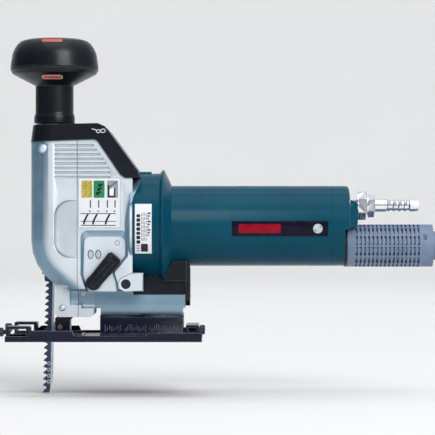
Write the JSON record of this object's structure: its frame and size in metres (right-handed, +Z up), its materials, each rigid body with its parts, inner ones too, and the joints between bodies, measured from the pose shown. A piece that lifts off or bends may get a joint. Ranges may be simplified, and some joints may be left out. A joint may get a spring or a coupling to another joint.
{
  "type": "compressed-air jigsaw",
  "caption": "Barrel-grip air jigsaw with a turning knob over the head, a bevelling foot, an orbital selector, a hose tail and a slotted silencer.",
  "frame": {"origin": "middle of the underside of the sole plate, under the middle of its length", "axes": "+X back along the motor barrel, so the saw cuts towards -X; +Z up; -Y is the tool's left side"},
  "size_m": [0.281, 0.076, 0.2286],
  "materials": {
    "cast_alloy": "bead-blasted light alloy casting",
    "black_moulding": "fine-grained black moulding",
    "teal_enamel": "smooth teal enamel",
    "bright_plating": "bright plated",
    "silencer_grey": "blue-grey moulding",
    "machined_steel": "machined",
    "alloy_plain": "machined",
    "bearing_bronze": "machined",
    "black_steel": "blackened pressed steel",
    "blade_steel": "blued blade with ground back",
    "spring_steel": "drawn wire",
    "vane_composite": "laminated resin",
    "label_film": "printed film",
    "badge_black": "gloss film",
    "signal_red": "satin red moulding"
  },
  "bodies": {
    "housing": {"gear_housing_front": "cast_alloy", "gear_housing_rear": "cast_alloy", "housing_screws": "machined_steel", "head_cover": "black_moulding", "cover_screws": "machined_steel", "upper_plunger_bush": "bearing_bronze", "lower_plunger_bush": "bearing_bronze", "gear_axle": "machined_steel", "motor_housing": "teal_enamel", "front_bearing_plate": "alloy_plain", "front_bearing": "machined_steel", "stator_cylinder": "machined_steel", "rear_bearing_plate": "alloy_plain", "rear_bearing": "machined_steel", "rear_cap": "teal_enamel", "rear_cap_screws": "machined_steel", "valve_spring": "spring_steel", "inlet_nut": "bright_plating", "hose_nipple": "bright_plating", "silencer_shell": "silencer_grey", "silencer_core": "silencer_grey", "silencer_seal": "black_moulding", "dust_port": "black_moulding", "setting_label": "label_film", "rating_plate": "label_film", "badge_strip": "badge_black", "fork_pin": "machined_steel"},
    "rotor": {"rotor": "machined_steel", "vanes": "vane_composite", "pinion": "machined_steel"},
    "crank": {"crank_gear": "machined_steel", "crank_pin": "machined_steel", "crank_roller": "machined_steel"},
    "plunger": {"plunger_tube": "machined_steel", "plunger_yoke": "machined_steel", "blade_clamp": "black_steel", "clamp_screw": "machined_steel", "saw_blade": "blade_steel"},
    "fork": {"roller_fork": "black_steel", "roller_pin": "bearing_bronze"},
    "roller": {"guide_roller": "machined_steel"},
    "selector": {"selector_lever": "black_moulding", "selector_shaft": "machined_steel"},
    "foot": {"base_plate": "black_steel", "foot_saddle": "black_steel", "bevel_screw": "black_steel", "bevel_nut": "machined_steel", "guide_brackets": "black_steel", "guide_screws": "black_steel"},
    "knob": {"knob_base": "black_moulding", "knob_cap": "black_moulding", "drive_rod": "machined_steel", "knob_marks": "signal_red", "button_spring": "spring_steel"},
    "button": {"lock_button": "signal_red"},
    "switch": {"switch_slider": "teal_enamel", "switch_rod": "machined_steel", "throttle_valve": "machined_steel"}
  },
  "joints": [
    {"name": "rotor_spin", "type": "hinge", "parent": "housing", "child": "rotor", "pos_m": [0.07, 0, 0.073], "axis": [1, 0, 0], "continuous": true},
    {"name": "crank_spin", "type": "hinge", "parent": "housing", "child": "crank", "pos_m": [-0.008, 0, 0.098], "axis": [1, 0, 0], "continuous": true},
    {"name": "plunger_stroke", "type": "slide", "parent": "housing", "child": "plunger", "axis": [0, 0, 1], "range_m": [-0.026, 0]},
    {"name": "fork_swing", "type": "hinge", "parent": "housing", "child": "fork", "pos_m": [-0.012, 0, 0.0295], "axis": [0, -1, 0], "range_deg": [0, 2.5]},
    {"name": "roller_spin", "type": "hinge", "parent": "fork", "child": "roller", "pos_m": [-0.0273, 0, 0.0081], "axis": [0, 1, 0], "continuous": true},
    {"name": "selector_turn", "type": "hinge", "parent": "housing", "child": "selector", "pos_m": [-0.0045, 0, 0.0371], "axis": [0, -1, 0], "range_deg": [0, 50]},
    {"name": "foot_bevel", "type": "hinge", "parent": "housing", "child": "foot", "pos_m": [0.0255, 0, 0.0205], "axis": [1, 0, 0], "range_deg": [-45, 45]},
    {"name": "knob_turn", "type": "hinge", "parent": "housing", "child": "knob", "pos_m": [-0.0313, 0, 0.16], "axis": [0, 0, 1], "continuous": true},
    {"name": "button_press", "type": "slide", "parent": "knob", "child": "button", "axis": [0, 0, -1], "range_m": [0, 0.0025], "stiffness_N_per_m": 300, "springref_m": -0.002, "deforming": ["button_spring"]},
    {"name": "switch_slide", "type": "slide", "parent": "housing", "child": "switch", "axis": [1, 0, 0], "range_m": [0, 0.005], "stiffness_N_per_m": 150, "springref_m": -0.004, "deforming": ["valve_spring"]}
  ],
  "couplings": [
    {"joint": "crank_spin", "follows": "rotor_spin", "ratio": -0.21951}
  ]
}
